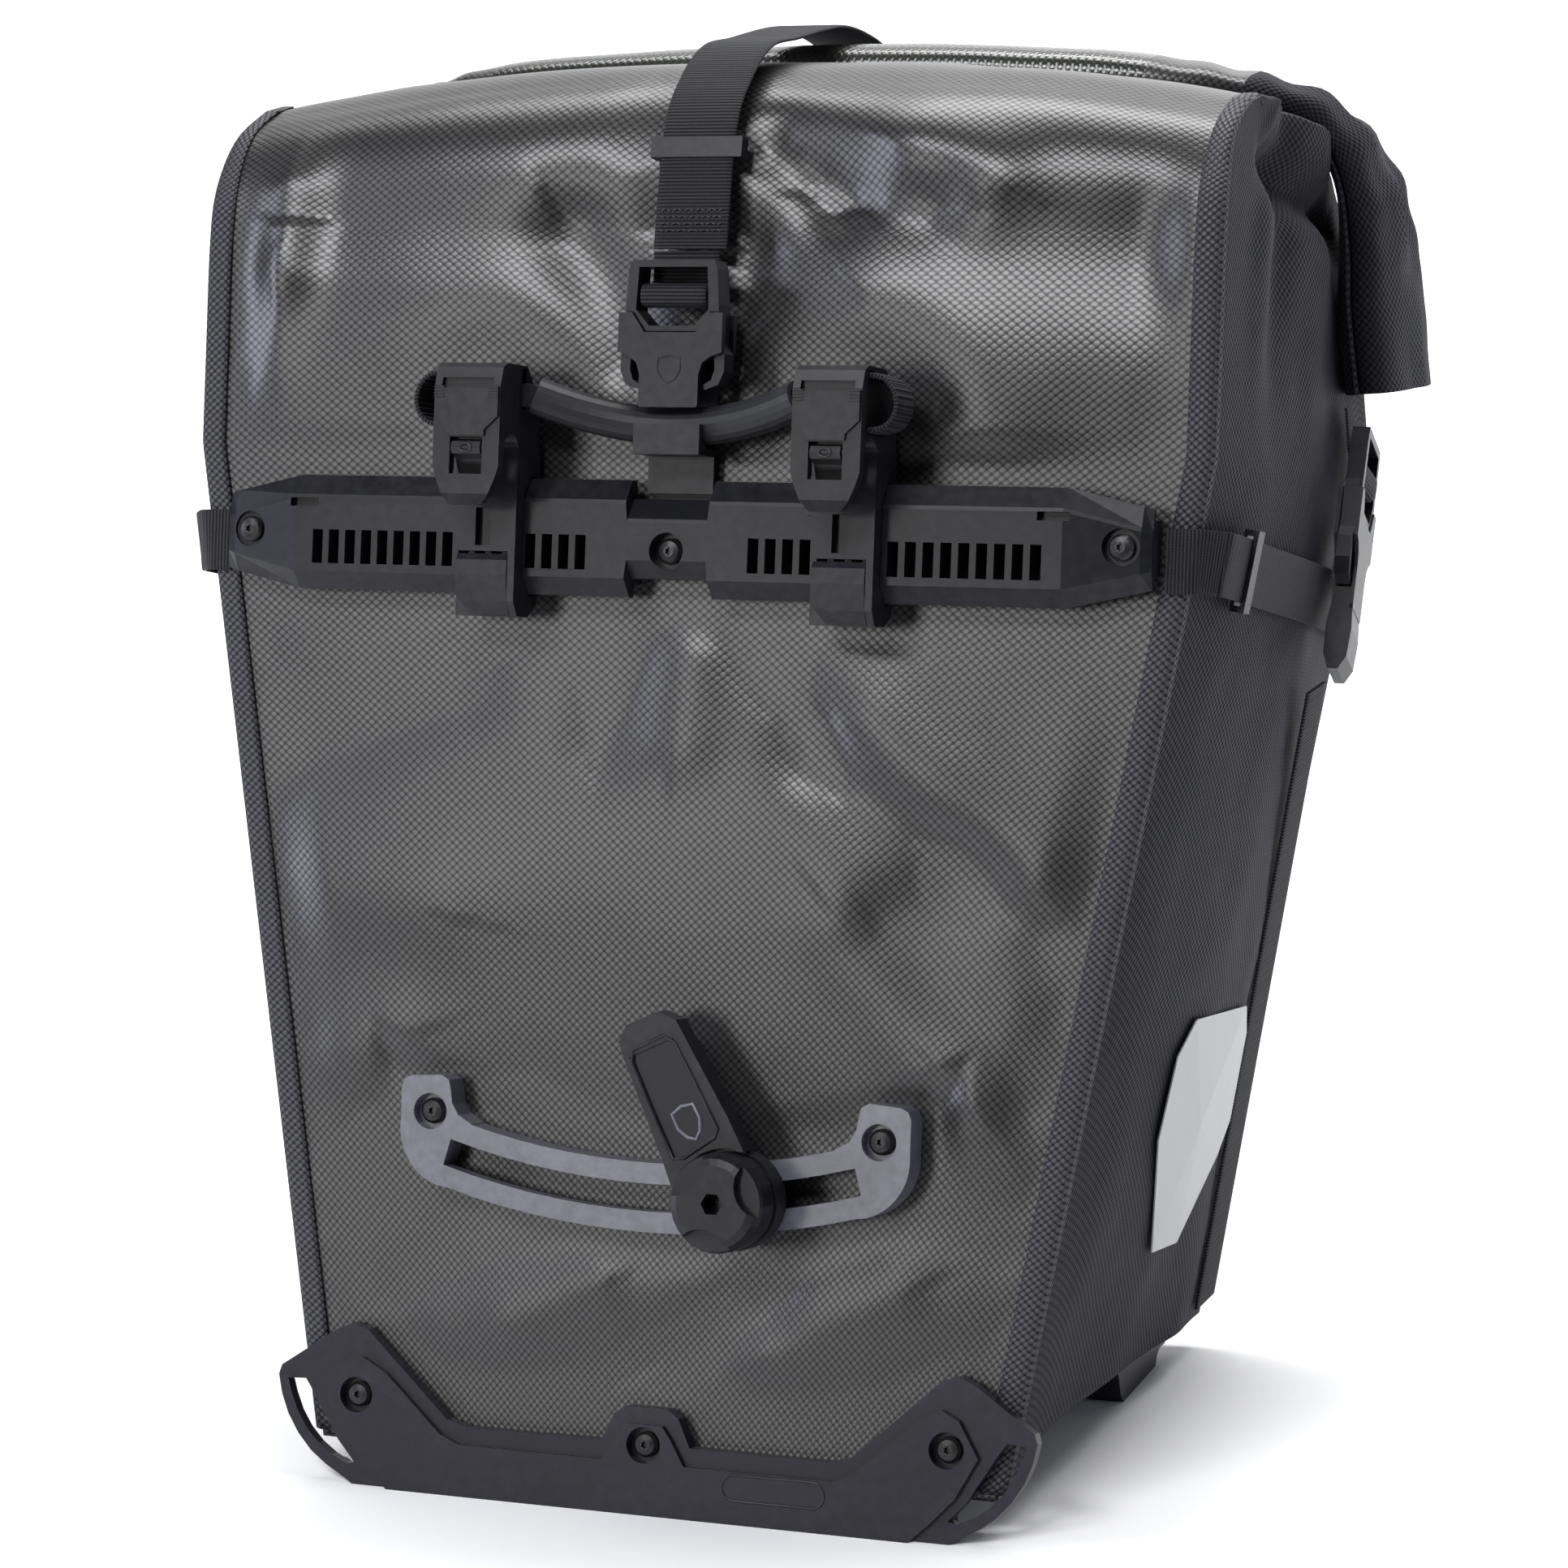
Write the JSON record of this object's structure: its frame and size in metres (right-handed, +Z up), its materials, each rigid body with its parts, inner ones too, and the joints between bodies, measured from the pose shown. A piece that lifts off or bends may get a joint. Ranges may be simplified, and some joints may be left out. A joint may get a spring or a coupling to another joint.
{
  "type": "pannier bag",
  "caption": "Black roll-top bicycle pannier with slotted carrier rail, two latching hooks, carry handle and swivel lower anchor.",
  "frame": {"origin": "centre of the bounding box, at the ground plane the bag stands on", "axes": "+Z up, -Y toward the bicycle (the face with the rail and hooks), +X to the right seen from that face"},
  "size_m": [0.3718, 0.2742, 0.4322],
  "materials": {
    "coated_fabric": "glossy coated fabric",
    "woven_fabric": "matte woven fabric",
    "rolled_fabric": "glossy coated fabric",
    "liner_board": "plain sheet",
    "hard_plastic": "fine grain",
    "grey_plastic": "satin",
    "guard_plastic": "satin",
    "rubber": "matte",
    "webbing": "woven strap",
    "black_steel": "black coated",
    "reflective": "reflective film"
  },
  "bodies": {
    "bag": {"rear_panel": "coated_fabric", "front_panel": "coated_fabric", "gusset_left": "woven_fabric", "gusset_right": "woven_fabric", "bottom_panel": "coated_fabric", "roll_top": "rolled_fabric", "roll_stiffener": "liner_board", "back_stiffener": "liner_board", "reflector_left": "reflective", "reflector_right": "reflective", "edge_protector": "guard_plastic", "protector_screw_left": "black_steel", "protector_screw_middle": "black_steel", "protector_screw_right": "black_steel", "foot_left": "guard_plastic", "foot_right": "guard_plastic", "rail": "hard_plastic", "rail_screw_left": "black_steel", "rail_screw_middle": "black_steel", "rail_screw_right": "black_steel", "rail_nut_left": "black_steel", "rail_nut_middle": "black_steel", "rail_nut_right": "black_steel", "arc_rail": "grey_plastic", "arc_screw_left": "black_steel", "arc_screw_right": "black_steel", "handle_clip": "hard_plastic", "top_strap": "webbing", "top_buckle_female": "hard_plastic", "buckle_strap": "rubber", "side_strap_left": "webbing", "side_buckle_male_left": "hard_plastic", "side_webbing_left": "webbing", "side_buckle_loop_left": "webbing", "side_strap_right": "webbing", "side_buckle_male_right": "hard_plastic", "side_webbing_right": "webbing", "side_buckle_loop_right": "webbing"},
    "hook_left": {"hook_body_left": "hard_plastic", "latch_pin_left": "black_steel", "handle_webbing_left": "webbing"},
    "hook_right": {"hook_body_right": "hard_plastic", "latch_pin_right": "black_steel", "handle_webbing_right": "webbing"},
    "latch_left": {"hook_latch_left": "black_steel"},
    "latch_right": {"hook_latch_right": "black_steel"},
    "lever_left": {"lock_lever_left": "hard_plastic"},
    "lever_right": {"lock_lever_right": "hard_plastic"},
    "handle": {"handle_sleeve": "rubber", "handle_core": "webbing"},
    "anchor": {"anchor_bolt": "black_steel"},
    "anchor_arm": {"anchor_hook": "hard_plastic"},
    "knob": {"anchor_knob": "hard_plastic"},
    "top_male": {"top_buckle_male": "hard_plastic", "buckle_loop": "webbing"},
    "side_female_left": {"side_buckle_female_left": "hard_plastic"},
    "side_female_right": {"side_buckle_female_right": "hard_plastic"},
    "slider_left": {"strap_slider_left": "hard_plastic"},
    "slider_right": {"strap_slider_right": "hard_plastic"},
    "keeper": {"strap_keeper": "hard_plastic"}
  },
  "joints": [
    {"name": "hook_slide_left", "type": "slide", "parent": "bag", "child": "hook_left", "axis": [-1, 0, 0], "range_m": [0, 0.0112]},
    {"name": "latch_turn_left", "type": "hinge", "parent": "hook_left", "child": "latch_left", "pos_m": [-0.0585, -0.08238, 0.3196], "axis": [1, 0, 0], "range_deg": [-30.5, 0]},
    {"name": "lever_turn_left", "type": "hinge", "parent": "hook_left", "child": "lever_left", "pos_m": [-0.0585, -0.0765, 0.28282], "axis": [1, 0, 0], "range_deg": [-80, 0]},
    {"name": "side_release_left", "type": "slide", "parent": "bag", "child": "side_female_left", "axis": [0, -0.512, -0.859], "range_m": [0, 0.02]},
    {"name": "slider_move_left", "type": "slide", "parent": "bag", "child": "slider_left", "axis": [0, 0.9581, -0.2864], "range_m": [-0.01, 0.02]},
    {"name": "hook_slide_right", "type": "slide", "parent": "bag", "child": "hook_right", "axis": [1, 0, 0], "range_m": [0, 0.0112]},
    {"name": "latch_turn_right", "type": "hinge", "parent": "hook_right", "child": "latch_right", "pos_m": [0.0585, -0.08238, 0.3196], "axis": [1, 0, 0], "range_deg": [-30.5, 0]},
    {"name": "lever_turn_right", "type": "hinge", "parent": "hook_right", "child": "lever_right", "pos_m": [0.0585, -0.0765, 0.28282], "axis": [1, 0, 0], "range_deg": [-80, 0]},
    {"name": "side_release_right", "type": "slide", "parent": "bag", "child": "side_female_right", "axis": [0, -0.512, -0.859], "range_m": [0, 0.02]},
    {"name": "slider_move_right", "type": "slide", "parent": "bag", "child": "slider_right", "axis": [0, 0.9581, -0.2864], "range_m": [-0.01, 0.02]},
    {"name": "handle_pull", "type": "slide", "parent": "bag", "child": "handle", "axis": [0, 0.2334, 0.9724], "range_m": [0, 0.004]},
    {"name": "anchor_travel", "type": "hinge", "parent": "bag", "child": "anchor", "pos_m": [0, -0.05672, 0.3408], "axis": [0, 0.9724, -0.2334], "range_deg": [-7, 20.5]},
    {"name": "anchor_turn", "type": "hinge", "parent": "anchor", "child": "anchor_arm", "pos_m": [0.03, -0.11706, 0.09797], "axis": [0, 0.9724, -0.2334], "continuous": true},
    {"name": "knob_turn", "type": "hinge", "parent": "anchor", "child": "knob", "pos_m": [0.03, -0.12095, 0.0989], "axis": [0, 0.9724, -0.2334], "continuous": true},
    {"name": "top_buckle_release", "type": "slide", "parent": "bag", "child": "top_male", "axis": [0, 0.2334, 0.9724], "range_m": [0, 0.026]},
    {"name": "keeper_slide", "type": "slide", "parent": "bag", "child": "keeper", "axis": [0, 0.364, 0.9314], "range_m": [-0.012, 0]}
  ],
  "couplings": [
    {"joint": "latch_turn_left", "follows": "handle_pull", "rad_per_m": -130.9},
    {"joint": "latch_turn_right", "follows": "handle_pull", "rad_per_m": -130.9}
  ]
}
